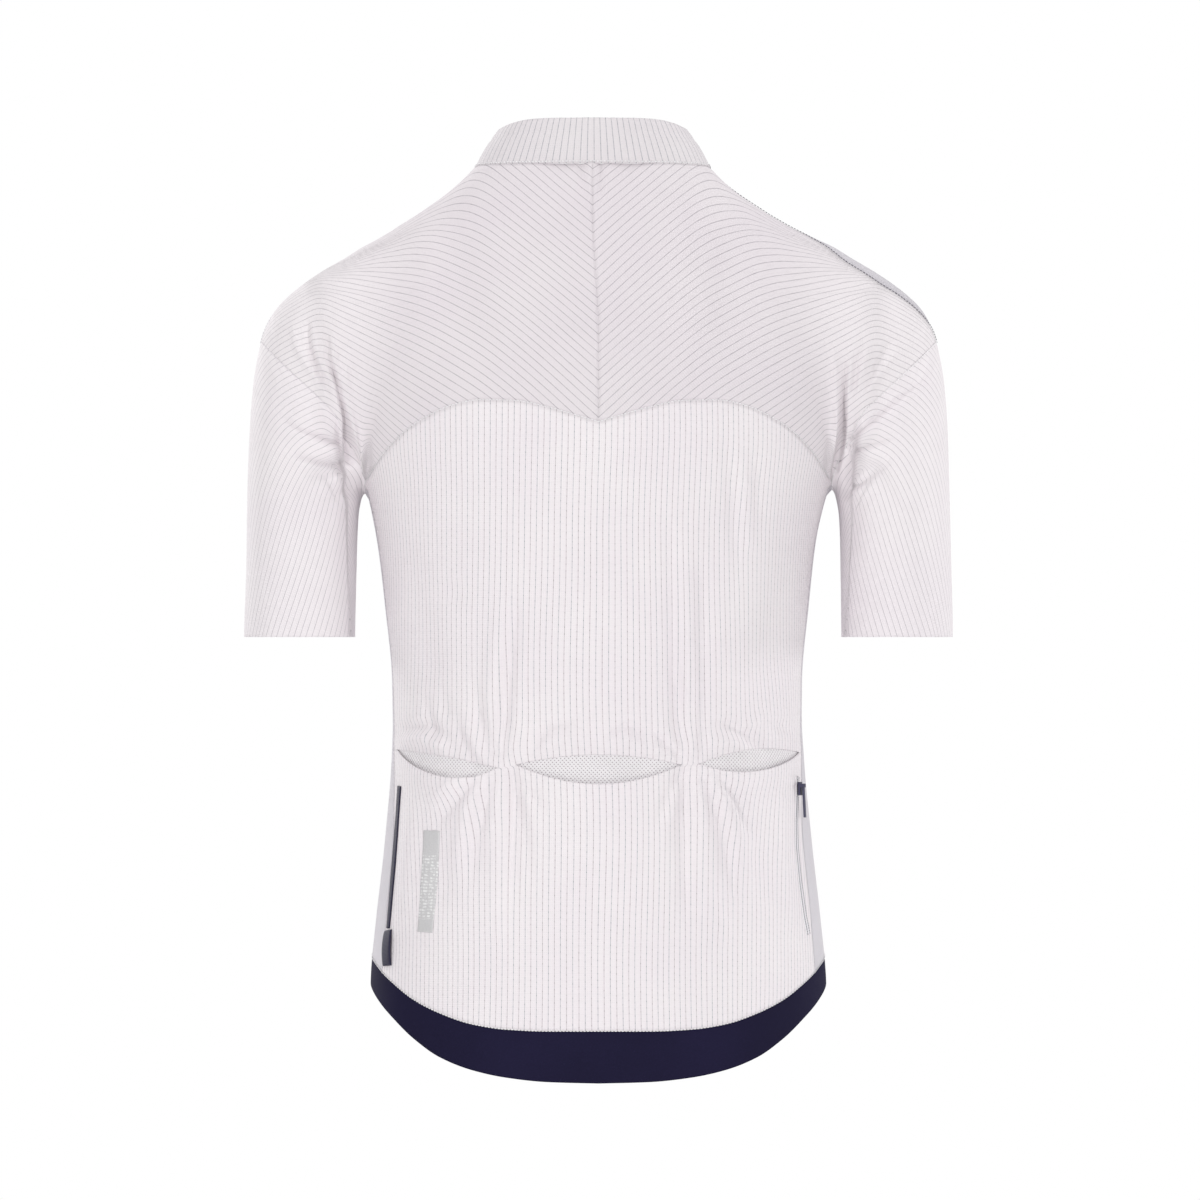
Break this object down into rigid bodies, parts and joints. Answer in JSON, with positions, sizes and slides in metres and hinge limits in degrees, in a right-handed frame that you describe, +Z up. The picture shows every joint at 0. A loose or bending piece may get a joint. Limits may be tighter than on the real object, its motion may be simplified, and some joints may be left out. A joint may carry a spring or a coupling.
{
  "type": "cycling jersey",
  "caption": "Short-sleeved cycling jersey, filled out as if worn: stand collar, full front zip, curved back yoke, slit rear pockets over mesh, zipped side pocket and dropped navy hem band.",
  "frame": {"origin": "middle of the neck opening at the height of the collar seam at the centre back, where the wearer's neck and shoulders hold the jersey", "axes": "+Z up to the collar's top, -Y the front with the zip, +X the wearer's left"},
  "size_m": [0.533, 0.2388, 0.7228],
  "materials": {
    "cloth": "woven, fine dotted pinstripe on off-white",
    "yoke_cloth": "woven, chevron pinstripe on pale lilac grey",
    "side_cloth": "smooth knit, off-white",
    "hem_grip": "dense navy elastic band",
    "mesh": "white perforated mesh",
    "zip_tape": "woven zip tape",
    "zip_metal": "satin moulded zip slider",
    "pull": "satin moulded pull tab",
    "navy_pull": "navy enamelled zip slider and pull",
    "navy_trim": "navy woven tape",
    "reflective": "silver reflective film"
  },
  "bodies": {
    "jersey": {"back_panel": "cloth", "back_yoke_left": "yoke_cloth", "back_yoke_right": "yoke_cloth", "collar": "cloth", "front_panel_left": "cloth", "front_panel_right": "cloth", "front_zip_slider": "zip_metal", "front_zip_tape_left": "zip_tape", "front_zip_tape_right": "zip_tape", "hem_band": "hem_grip", "pocket_mesh_centre": "mesh", "pocket_mesh_left": "mesh", "pocket_mesh_right": "mesh", "pocket_zip_slider": "navy_pull", "pocket_zip_tape": "zip_tape", "reflective_patch": "reflective", "side_label_left": "navy_trim", "side_panel_left": "side_cloth", "side_panel_right": "side_cloth", "side_strip_left": "navy_trim", "sleeve_left": "yoke_cloth", "sleeve_right": "yoke_cloth"},
    "front_pull": {"front_zip_pull": "pull"},
    "pocket_pull": {"pocket_zip_pull": "navy_pull"}
  },
  "joints": [
    {"name": "front_pull_swing", "type": "hinge", "parent": "jersey", "child": "front_pull", "pos_m": [0.0026, -0.06373, -0.04607], "axis": [-1, 0, 0], "range_deg": [0, 120]},
    {"name": "pocket_pull_swing", "type": "hinge", "parent": "jersey", "child": "pocket_pull", "pos_m": [-0.15366, 0.04353, -0.46694], "axis": [0.3191, 0.9477, 0], "range_deg": [0, 120]}
  ]
}
